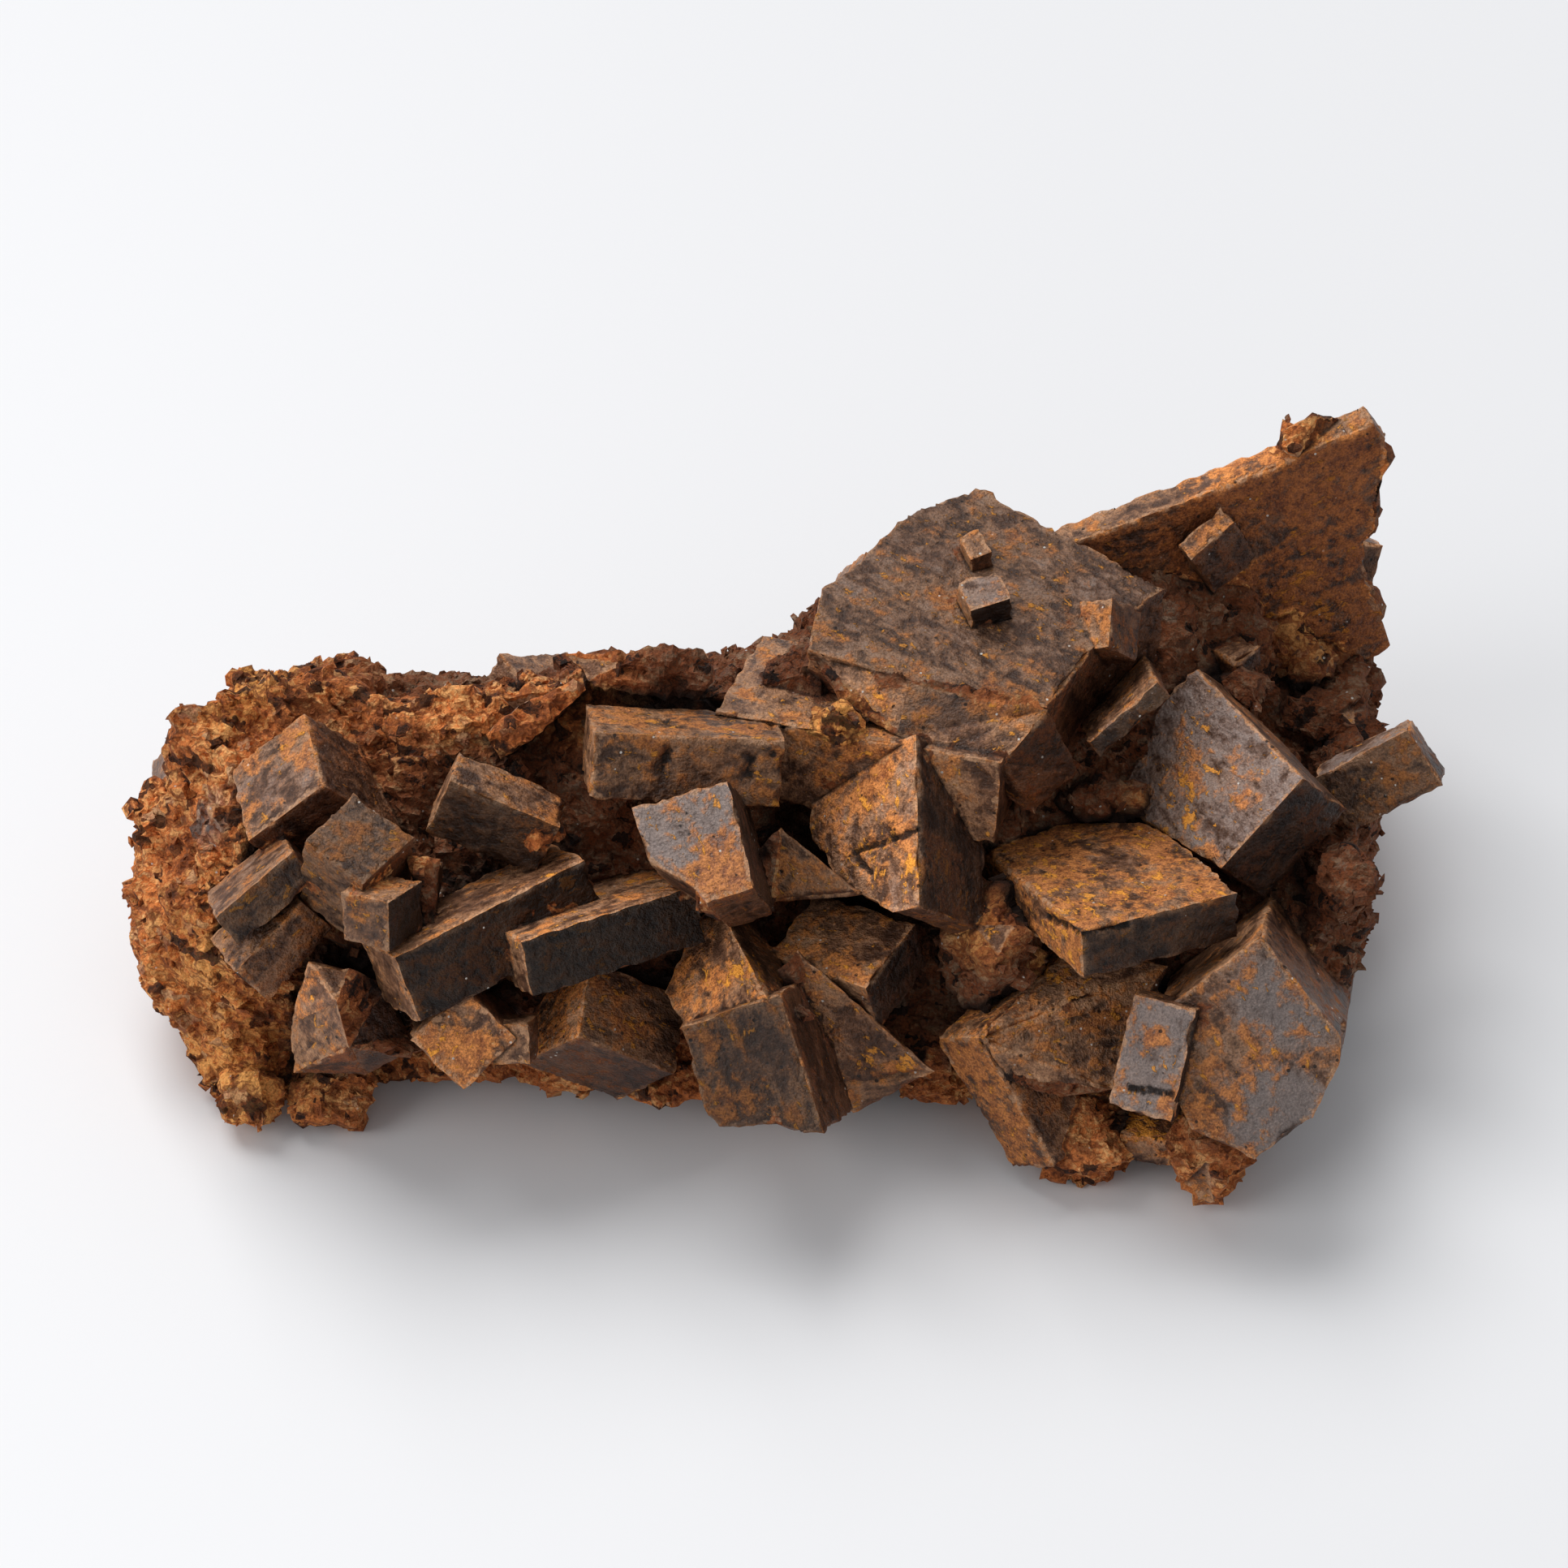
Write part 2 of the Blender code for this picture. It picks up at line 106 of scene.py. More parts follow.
def addPanel(name, place, size, strength, colour=(1, 1, 1)):
    lamp = bpy.data.lights.new(name, "AREA")
    lamp.shape = "SQUARE"
    lamp.size = size
    lamp.energy = strength
    lamp.color = colour
    holder = bpy.data.objects.new(name, lamp)
    holder.location = place
    holder.rotation_euler = Vector(place).to_track_quat("Z", "Y").to_euler()
    bpy.context.scene.collection.objects.link(holder)
    return holder


def setLight():
    scene = bpy.context.scene
    world = bpy.data.worlds.new("studio")
    scene.world = world
    world.use_nodes = True
    background = world.node_tree.nodes["Background"]
    background.inputs["Color"].default_value = (*light["sky"], 1)
    background.inputs["Strength"].default_value = light["skyStrength"]
    addPanel("mainPanel", light["panelFrom"], light["panelSize"], light["panelStrength"])
    addPanel("leftFill", light["fillFrom"], light["fillSize"], light["fillStrength"])
    scene.view_settings.view_transform = "Standard"
    scene.view_settings.look = "None"


setLight()
print("camera and light set")


# Shader maths

class Wire:
    # An output socket that takes part in sums
    def __init__(self, finish, socket):
        self.finish = finish
        self.socket = socket

    def sum(self, operation, *others):
        node = self.finish.make("ShaderNodeMath", {"operation": operation}, self, *others)
        return node

    def __add__(self, other):
        return self.sum("ADD", other)

    __radd__ = __add__

    def __sub__(self, other):
        return self.sum("SUBTRACT", other)

    def __rsub__(self, other):
        return self * -1 + other

    def __mul__(self, other):
        return self.sum("MULTIPLY", other)

    __rmul__ = __mul__

    def __truediv__(self, other):
        return self.sum("DIVIDE", other)

    def __pow__(self, other):
        return self.sum("POWER", other)

    def least(self, other):
        return self.sum("MINIMUM", other)

    def most(self, other):
        return self.sum("MAXIMUM", other)

    def step(self, low, high):
        # 0 below low, 1 above high, smooth between
        settings = {"interpolation_type": "SMOOTHSTEP"}
        return self.finish.make("ShaderNodeMapRange", settings, self, low, high)


class Finish:
    # One material and its nodes
    def __init__(self, name):
        self.material = bpy.data.materials.new(name)
        self.material.use_nodes = True
        self.tree = self.material.node_tree
        self.shader = self.tree.nodes["Principled BSDF"]

    def plug(self, socket, value):
        if isinstance(value, Wire):
            self.tree.links.new(value.socket, socket)
        elif socket.type == "RGBA" and len(value) == 3:
            socket.default_value = (*value, 1)
        else:
            socket.default_value = value

    def make(self, kind, settings=None, *values, output=0, **named):
        node = self.tree.nodes.new(kind)
        for name, value in (settings or {}).items():
            setattr(node, name, value)
        for index, value in enumerate(values):
            self.plug(node.inputs[index], value)
        for name, value in named.items():
            self.plug(node.inputs[name], value)
        return Wire(self, node.outputs[output])

    def attribute(self, name, output=2):
        return self.make("ShaderNodeAttribute", {"attribute_name": name}, output=output)

    def place(self):
        return self.make("ShaderNodeTexCoord", output=3)

    def stretch(self, vector, factors):
        return self.make("ShaderNodeVectorMath", {"operation": "MULTIPLY"}, vector, factors)

    def noise(self, vector, scale, detail=3.0, roughness=0.5, distortion=0.0):
        return self.make("ShaderNodeTexNoise", {}, Vector=vector, Scale=scale, Detail=detail,
                         Roughness=roughness, Distortion=distortion)

    def cells(self, vector, scale, feature="F1", randomness=1.0):
        return self.make("ShaderNodeTexVoronoi", {"feature": feature}, Vector=vector,
                         Scale=scale, Randomness=randomness)

    def blend(self, amount, under, over, kind="MIX"):
        node = self.tree.nodes.new("ShaderNodeMix")
        node.data_type = "RGBA"
        node.blend_type = kind
        self.plug(node.inputs[0], amount)
        self.plug(node.inputs[6], under)
        self.plug(node.inputs[7], over)
        return Wire(self, node.outputs[2])

    def bump(self, height, depth, normal=None):
        node = self.tree.nodes.new("ShaderNodeBump")
        node.inputs["Strength"].default_value = 1.0
        node.inputs["Distance"].default_value = depth
        self.plug(node.inputs["Height"], height)
        if normal:
            self.plug(node.inputs["Normal"], normal)
        return Wire(self, node.outputs[0])

    def wear(self, piece):
        piece.data.materials.clear()
        piece.data.materials.append(self.material)


def floorFinish():
    finish = Finish("paleFloor")
    shader = finish.shader
    shader.inputs["Base Color"].default_value = (*light["floor"], 1)
    shader.inputs["Roughness"].default_value = light["floorGloss"]
    return finish


def layFloor():
    bm = bmesh.new()
    bmesh.ops.create_grid(bm, x_segments=1, y_segments=1, size=1.5)
    mesh = bpy.data.meshes.new("floor")
    bm.to_mesh(mesh)
    bm.free()
    floor = bpy.data.objects.new("floor", mesh)
    bpy.context.scene.collection.objects.link(floor)
    floorFinish().wear(floor)


layFloor()


# The cluster: the frame's own solid, cut finer, with crystal faces told from crust

cluster = {
    "flatness": 0.012,          # how far off a plane a crystal face may lie, mm
    "softBorder": 48.0,         # an edge flatter than this is soft, degrees
    "smallestFace": 0.25,       # mm2
    "surelyCrystal": 4.0,       # mm2, a flat face this large is never crust
    "edgeSteps": (3.0, 1.6, 0.9, 0.6, 0.43, 0.33),
    "hiddenStep": 0.6,          # faces turned away from the picture are cut no finer, mm
    "insideStep": 0.9,          # the middle of a crystal face is cut no finer, mm
    "crackReach": 0.4,          # but it is this near to a crack, mm
    "hollowStep": 0.9,          # the cut after which hollows are measured, mm
    "hollowRays": 14,
    "hollowReach": 4.0,         # mm
    "relaxRounds": 2,
    "borderReach": 1.6,         # how far from a border its distance is kept, mm
}


def mergedCopy(node):
    bm = bmesh.new()
    bm.from_mesh(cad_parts[node].data)
    bmesh.ops.remove_doubles(bm, verts=bm.verts, dist=0.002 * millimetre)
    bmesh.ops.dissolve_degenerate(bm, dist=0.004 * millimetre, edges=bm.edges)
    bmesh.ops.triangulate(bm, faces=bm.faces)
    return bm


def flatGroups(bm):
    # Every face gets the number of the flat face it belongs to
    group = bm.faces.layers.int.new("group")
    for face in bm.faces:
        face[group] = -1
    allowed = cluster["flatness"] * millimetre
    number = 0
    for seed in sorted(bm.faces, key=lambda face: -face.calc_area()):
        if seed[group] >= 0:
            continue
        middle, normal = seed.calc_center_median(), seed.normal.copy()
        seed[group] = number
        waiting = [seed]
        while waiting:
            face = waiting.pop()
            for edge in face.edges:
                for other in edge.link_faces:
                    if other[group] >= 0:
                        continue
                    if other.normal.dot(normal) < 0.9 and other.calc_area() > 1e-8:
                        continue
                    if all(abs((vert.co - middle).dot(normal)) < allowed for vert in other.verts):
                        other[group] = number
                        waiting.append(other)
        number += 1
    return group, number


def sortFaces(bm, group, count):
    # A crystal face is flat and has sharp borders, crust has soft ones
    area = [0.0] * count
    soft = [0.0] * count
    border = [0.0] * count
    for face in bm.faces:
        area[face[group]] += face.calc_area() * 1e6
    limit = math.radians(cluster["softBorder"])
    for edge in bm.edges:
        if len(edge.link_faces) != 2:
            continue
        one, two = [face[group] for face in edge.link_faces]
        if one == two:
            continue
        length = edge.calc_length()
        for number in (one, two):
            border[number] += length
            if edge.calc_face_angle() < limit:
                soft[number] += length
    found = []
    for number in range(count):
        sharp = area[number] > cluster["smallestFace"] and soft[number] < 0.35 * border[number]
        found.append(sharp or area[number] > cluster["surelyCrystal"])
    return found


def faceFrames(bm, group, isCrystal):
    # For each crystal face: a starting point, the direction of its longest edge, and one across it
    frames = {}
    for edge in bm.edges:
        if len(edge.link_faces) != 2 or edge.link_faces[0][group] == edge.link_faces[1][group]:
            continue
        for face in edge.link_faces:
            number = face[group]
            length = edge.calc_length()
            if isCrystal[number] and length > frames.get(number, (0,))[0]:
                along = (edge.verts[1].co - edge.verts[0].co).normalized()
                across = face.normal.cross(along)
                frames[number] = (length, edge.verts[0].co.copy(), along, across)
    return frames


def splitFiner(bm, group, isCrystal, hollow, toCrack):
    for step in cluster["edgeSteps"]:
        for again in range(3):
            long = [edge for edge in bm.edges if edge.calc_length() > step * millimetre
                    and (step >= cluster["hiddenStep"] or facesPicture(edge))
                    and (step >= cluster["insideStep"] or not plainInside(edge, group, isCrystal)
                         or toCrack(edge.verts[0].co) < cluster["crackReach"])]
            if not long:
                break
            bmesh.ops.subdivide_edges(bm, edges=long, cuts=1)
            bmesh.ops.triangulate(bm, faces=[face for face in bm.faces if len(face.verts) > 3])
        flat = [edge for edge in bm.edges if len(edge.link_faces) == 2
                and edge.link_faces[0][group] == edge.link_faces[1][group]]
        bmesh.ops.beautify_fill(bm, faces=bm.faces, edges=flat, method="ANGLE")
        for turn in range(cluster["relaxRounds"]):
            relax(bm, group)
        if step == cluster["hollowStep"]:
            measureHollows(bm, hollow)


def plainInside(edge, group, isCrystal):
    # Well inside one crystal face, away from its borders
    numbers = {face[group] for vert in edge.verts for face in vert.link_faces}
    return len(numbers) == 1 and isCrystal[numbers.pop()]


def facesPicture(edge):
    toEye = camera.location - edge.verts[0].co
    return any(face.normal.dot(toEye) > 0 for face in edge.link_faces)


def relax(bm, group):
    # Points inside a flat face move towards the middle of their neighbours
    moves = []
    for vert in bm.verts:
        first = vert.link_faces[0][group]
        if all(face[group] == first for face in vert.link_faces):
            middle = sum((edge.other_vert(vert).co for edge in vert.link_edges), Vector())
            moves.append((vert, middle / len(vert.link_edges)))
    for vert, place in moves:
        vert.co = vert.co.lerp(place, 0.5)


def measureHollows(bm, hollow):
    # How much of what a point faces is blocked by the cluster itself, 0 to 1
    bm.normal_update()
    tree = BVHTree.FromBMesh(bm)
    chance = random.Random(3)
    spread = [Vector([chance.gauss(0, 1) for axis in range(3)]).normalized()
              for turn in range(cluster["hollowRays"])]
    reach = cluster["hollowReach"] * millimetre
    for vert in bm.verts:
        start = vert.co + vert.normal * 0.08 * millimetre
        blocked = 0.0
        for ray in spread:
            aimed = ray + vert.normal * 1.05
            hit = tree.ray_cast(start, aimed.normalized(), reach)
            if hit[0]:
                blocked += 1 - 0.6 * hit[3] / reach
        vert[hollow] = blocked / len(spread)


def bordersOf(bm, group, isCrystal):
    # Borders of crystal faces, told apart as outer corners and inner ones
    outer, inner = [], []
    for edge in bm.edges:
        if len(edge.link_faces) != 2:
            continue
        one, two = edge.link_faces
        if one[group] == two[group] or not (isCrystal[one[group]] or isCrystal[two[group]]):
            continue
        turn = edge.calc_face_angle_signed()
        if abs(turn) > math.radians(20):
            ends = (edge.verts[0].co.copy(), edge.verts[1].co.copy())
            (outer if turn > 0 else inner).append(ends)
    return outer, inner


def borderFinder(borders):
    # A function that gives a point's distance to the nearest border or crack, mm
    tree = KDTree(len(borders))
    for index, (start, end) in enumerate(borders):
        tree.insert((start + end) / 2, index)
    tree.balance()

    def distance(point):
        nearest = cluster["borderReach"]
        for middle, index, gap in tree.find_n(point, 3):
            start, end = borders[index]
            along = end - start
            share = (point - start).dot(along) / max(along.length_squared, 1e-14)
            place = start + along * min(max(share, 0), 1)
            nearest = min(nearest, (point - place).length / millimetre)
        return nearest

    return distance


# Relief of the surface, all in millimetres

relief = {
    "faceSwell": 0.06,
    "faceWaver": 0.035,
    "edgeWear": 0.24,
    "edgeChip": 0.85,
    "crustLumps": 0.35,
    "crustFacets": 0.42,
    "facetSize": 1.3,
    "crustGrains": 0.22,
    "grainSize": 0.6,
    "nookFill": 0.12,
    "crackDepth": 0.28,
    "crackWidth": 0.24,
}


def brokenFacets(place, size, depth):
    # Each cell of the crust is a small tilted plane at its own height, as in broken rock
    distances, points = noise.voronoi(place / size)
    chance = noise.cell_vector(points[0] * 7.3)
    tilt = noise.cell_vector(points[0] * 5.1 + Vector((3, 1, 2)))
    return depth * (chance.x * 0.6 + (place / size - points[0]).dot(tilt) * 0.9)


def crustPush(place):
    lumps = noise.fractal(place * 0.5, 0.9, 2.1, 2) * relief["crustLumps"]
    facets = brokenFacets(place, relief["facetSize"], relief["crustFacets"])
    grains = brokenFacets(place + Vector((5, 5, 5)), relief["grainSize"], relief["crustGrains"])
    return lumps + facets + grains


def facePush(place):
    return (noise.noise(place * 0.45) * relief["faceSwell"]
            + noise.noise(place * 1.9 + Vector((7, 3, 1))) * relief["faceWaver"])


def wearPush(place):
    # How far an outer corner is worn or chipped away
    fine = max(0.0, noise.noise(place * 1.7 + Vector((0, 9, 2))) + 0.25) * relief["edgeWear"]
    chip = max(0.0, noise.noise(place * 0.5 + Vector((4, 0, 8))) - 0.22) * relief["edgeChip"]
    return fine + chip


def carve(bm, group, isCrystal, crack):
    moves = []
    for vert, gap in zip(bm.verts, crack):
        place = vert.co / millimetre
        normals = {}
        for face in vert.link_faces:
            normals.setdefault(face[group], face.normal)
        crystals = [number for number in normals if isCrystal[number]]
        if len(normals) == 1 and crystals:
            push = facePush(place) - relief["crackDepth"] * max(0, 1 - gap / relief["crackWidth"])
            way = normals[crystals[0]]
        elif len(crystals) == len(normals):
            way = sum((normals[number] for number in crystals), Vector()).normalized()
            signed = max((edge.calc_face_angle_signed() for edge in vert.link_edges
                          if len(edge.link_faces) == 2), key=abs)
            push = -wearPush(place) if signed > 0 else relief["nookFill"] * noise.noise(place * 1.3)
        elif crystals:
            way = vert.normal
            push = crustPush(place) * 0.35
        else:
            way = vert.normal
            push = crustPush(place)
        moves.append(way * push * millimetre)
    for vert, move in zip(bm.verts, moves):
        vert.co += move
        vert.co.z = max(vert.co.z, 0)       # the foot rests on the floor


# Colour patches, each named after the place in the picture where it sits

# Whole crystal faces: picture place, then how much grey with painted sheen, rust and ochre they carry, and how
# much painted shade (a negative amount is painted light)
faceLooks = {
    "browLeft": ((350, 930), 0.45, 0.35, 0.1, 0.0),
    "browRight": ((470, 940), 0.15, 0.1, 0.0, 0.45),
    "buttonTop": ((430, 1010), 0.2, 0.5, 0.1, 0.1),
    "buttonFront": ((460, 1060), 0.0, 0.2, 0.0, 0.7),
    "buttonLeft": ((400, 1060), 0.0, 0.2, 0.0, 0.6),
    "shelfTop": ((300, 1070), 0.3, 0.3, 0.0, 0.1),
    "shelfFront": ((320, 1120), 0.0, 0.2, 0.0, 0.8),
    "smallCubeLeft": ((450, 1130), 0.0, 0.2, 0.3, 0.4),
    "smallCubeRight": ((500, 1125), 0.0, 0.0, 0.0, 1.0),
    "longSlabTop": ((620, 1090), 0.15, 0.15, 0.0, -0.6),
    "longSlabFront": ((600, 1165), 0.0, 0.25, 0.0, 1.0),
    "secondSlabTop": ((740, 1110), 0.15, 0.2, 0.0, -0.5),
    "secondSlabFront": ((770, 1150), 0.0, 0.2, 0.0, 1.15),
    "wedgeTop": ((625, 965), 0.1, 0.1, 0.0, 0.2),
    "wedgeFront": ((590, 1010), 0.0, 0.1, 0.0, 0.85),
    "loafTop": ((800, 885), 0.0, 0.35, 0.1, 0.2),
    "loafFront": ((800, 940), 0.0, 0.3, 0.05, 0.35),
    "bookTop": ((850, 1000), 0.85, 0.05, 0.0, 0.0),
    "bookRight": ((930, 1040), 0.0, 0.2, 0.0, 0.7),
    "pyramidLeft": ((695, 1260), 0.2, 0.4, 0.0, -0.9),
    "pyramidRight": ((780, 1260), 0.1, 0.2, 0.2, 0.3),
    "leftLumpLeft": ((350, 1290), 0.3, 0.3, 0.0, -0.5),
    "leftLumpTop": ((400, 1215), 0.3, 0.7, 0.0, -0.5),
    "leftLumpFront": ((430, 1300), 0.2, 0.5, 0.0, -0.3),
    "middleLump": ((560, 1270), 0.1, 0.7, 0.0, -0.7),
    "middleLumpRight": ((600, 1290), 0.1, 0.6, 0.0, -0.3),
    "wingBand": ((1480, 607), 0.0, 0.8, 0.0, -0.45),
    "greatSlope": ((1200, 860), 0.1, 0.1, 0.0, 0.7),
    "triangleLeft": ((885, 1190), 0.1, 0.6, 0.1, -0.8),
    "triangleRight": ((925, 1160), 0.0, 0.4, 0.2, 0.4),
    "frontPlate": ((900, 1310), 0.5, 0.6, 0.1, -0.8),
    "frontPlateSide": ((985, 1330), 0.0, 0.2, 0.0, 0.8),
    "tentRight": ((1070, 1300), 0.2, 0.2, 0.2, -0.2),
    "flatPlate": ((1040, 1150), 0.1, 0.35, 0.1, -0.2),
    "flatPlateSide": ((1100, 1190), 0.0, 0.2, 0.0, 0.8),
    "lowWedge": ((990, 1070), 0.0, 0.4, 0.0, 0.4),
    "prismLeft": ((1070, 1010), 0.35, 0.50, 0.25, -0.5),
    "prismRight": ((1170, 1000), 0.0, 0.3, 0.0, 0.7),
    "roofTop": ((990, 850), 0.45, 0.05, 0.1, 0.0),
    "greatTop": ((1150, 780), 0.35, 0.10, 0.05, 0.4),
    "greatFrontLeft": ((1130, 900), 0.1, 0.2, 0.0, 0.5),
    "greatFrontRight": ((1290, 890), 0.0, 0.3, 0.0, 0.5),
    "faceCubeTop": ((1212, 730), 0.6, 0.1, 0.0, 0.0),
    "faceCubeFront": ((1215, 765), 0.0, 0.0, 0.0, 1.0),
    "sideCubeTop": ((1390, 830), 0.25, 0.25, 0.1, 0.0),
    "sideCubeFront": ((1400, 890), 0.0, 0.0, 0.0, 1.0),
    "sideTopLeft": ((1350, 770), 0.2, 0.5, 0.0, 0.0),
    "bigCubeLeft": ((1490, 930), 0.65, 0.1, 0.0, -0.2),
    "bigCubeRight": ((1580, 1030), 0.0, 0.15, 0.0, 0.7),
    "endCubeFront": ((1690, 950), 0.25, 0.1, 0.0, 0.7),
    "endCubeTop": ((1680, 925), 0.6, 0.0, 0.0, 0.0),
    "endCubeEnd": ((1755, 935), 0.2, 0.1, 0.0, 0.6),
    "rustTop": ((1380, 1070), 0.25, 0.65, 0.2, 0.0),
    "rustTopFront": ((1440, 1160), 0.0, 0.1, 0.0, 0.85),
    "rustTopLeft": ((1270, 1110), 0.0, 0.8, 0.15, 0.0),
    "lowBlockTop": ((1230, 1240), 0.1, 0.4, 0.2, -0.5),
    "lowBlockFront": ((1290, 1290), 0.1, 0.3, 0.1, 0.3),
    "lowBlockLeft": ((1220, 1360), 0.0, 1.1, 0.1, 0.2),
    "layeredTop": ((1420, 1280), 0.9, 0.1, 0.0, 0.0),
    "layeredSide": ((1462, 1310), 0.1, 0.1, 0.0, 0.9),
    "cornerTop": ((1610, 1150), 0.1, 0.2, 0.05, 0.25),
    "cornerFront": ((1540, 1270), 0.40, 0.2, 0.0, 0.3),
    "yellowBlockTop": ((1420, 1390), 0.0, 0.6, 1.0, 0.0),
    "wing": ((1600, 640), 0.0, 0.9, 0.0, -0.35),
    "wingCube": ((1490, 670), 0.3, 0.6, 0.0, 0.0),
}

# Spots: picture place, radius in mm, finish and strength
spots = {
    "yellowOnTriangle": ((915, 1195), 1.2, "ochre", 1.0),
    "yellowOnFrontPlate": ((925, 1280), 0.9, "ochre", 0.9),
    "rustUnderFrontPlate": ((900, 1350), 2.0, "rust", 0.8),
    "yellowOnTent": ((1085, 1300), 1.8, "ochre", 0.8),
    "yellowOnLongSlab": ((690, 1085), 1.6, "ochre", 0.9),
    "yellowOnSecondSlab": ((705, 1150), 1.2, "ochre", 0.8),
    "rimYellow": ((300, 850), 3.2, "ochre", 0.9),
    "rimRust": ((470, 890), 4.0, "rust", 0.8),
    "brokenBook": ((885, 1065), 2.4, "rust", 1.0),
    "goldenNodule": ((1030, 895), 2.6, "ochre", 0.8),
    "rustTopFront": ((1310, 1100), 3.6, "ochre", 0.5),
    "besideRustTop": ((1190, 1130), 3.0, "ochre", 0.6),
    "prismShoulder": ((1060, 930), 2.4, "rust", 0.9),
    "prismFoot": ((1125, 1085), 1.2, "ochre", 0.8),
    "wedgeChip": ((665, 1020), 1.6, "rust", 1.0),
    "lowTopStreak": ((1290, 1195), 1.4, "ochre", 0.7),
    "layeredFleck": ((1422, 1285), 0.8, "rust", 0.9),
    "cornerRust": ((1500, 1370), 3.0, "rust", 0.7),
    "cornerGreyAndSheenLow": ((1570, 1370), 2.6, "slate", 0.9),
    "cornerGreyAndSheenSide": ((1590, 1230), 3.0, "slate", 0.7),
    "wingKnob": ((1600, 535), 2.2, "rust", 1.0),
    "wingYellow": ((1610, 760), 3.4, "ochre", 0.5),
    "wallOchre": ((250, 1180), 4.5, "ochre", 0.5),
    "footOchre": ((300, 1320), 5.0, "ochre", 0.6),
    "wallGreyAndSheen": ((265, 1010), 1.6, "slate", 0.9),
    "bigCubeOchre": ((1450, 1000), 3.0, "ochre", 0.45),
    "greatRust": ((1270, 860), 3.0, "rust", 0.5),
    "loafCorner": ((960, 960), 1.6, "ochre", 0.7),
    "loafCrack": ((930, 900), 1.6, "rust", 0.8),
    "slabBand": ((570, 1200), 2.5, "rust", 0.6),
    "pyramidRust": ((690, 1230), 1.8, "rust", 0.7),
}


# Cracks: places in the picture from one end to the other
cracks = {
    "acrossPrism": ((1018, 1062), (1050, 1050), (1080, 1040), (1131, 1021)),
    "prismBranch": ((1050, 1050), (1072, 1075)),
    "loafRight": ((925, 895), (928, 935), (922, 955)),
    "loafCorner": ((948, 893), (952, 930)),
    "loafLeft": ((820, 885), (824, 925), (817, 950)),
    "layeredLine": ((1394, 1341), (1420, 1345), (1446, 1350)),
    "rustTopLine": ((1290, 1130), (1335, 1148), (1390, 1140)),
}


crackReach = 4.0                # a longer piece than this jumps between crystals, mm


def findCracks(tree):
    # Each crack as short pieces from one point on the surface to the next
    pieces = []
    for name, places in cracks.items():
        points = []
        for place in places:
            start, aimed = sightLine(*place)
            hit = tree.ray_cast(start, aimed)
            if hit[0]:
                points.append(hit[0])
        for one, two in zip(points, points[1:]):
            if (one - two).length < crackReach * millimetre:
                bits = [one.lerp(two, share / 4) for share in range(5)]
                pieces += list(zip(bits, bits[1:]))
    return pieces


def findSpots(tree):
    found = {}
    for name, (place, size, finish, strength) in spots.items():
        start, aimed = sightLine(*place)
        hit = tree.ray_cast(start, aimed)
        if hit[0]:
            found.setdefault(finish, []).append((hit[0], size * millimetre, strength))
        else:
            print("spot", name, "misses the cluster")
    return found


def findLooks(tree, groups, crystals):
    found = {}
    for name, (place, *amounts) in faceLooks.items():
        start, aimed = sightLine(*place)
        hit = tree.ray_cast(start, aimed)
        if hit[0]:
            number = groups[hit[2]]
            if number in found or number not in crystals:
                print("face", name, "is crust or taken")
            found[number] = amounts
        else:
            print("face", name, "misses the cluster")
    return found


def pointAttribute(mesh, name, values):
    mesh.attributes.new(name, "FLOAT", "POINT").data.foreach_set("value", values)


def faceAttribute(mesh, name, values):
    mesh.attributes.new(name, "FLOAT", "FACE").data.foreach_set("value", values)


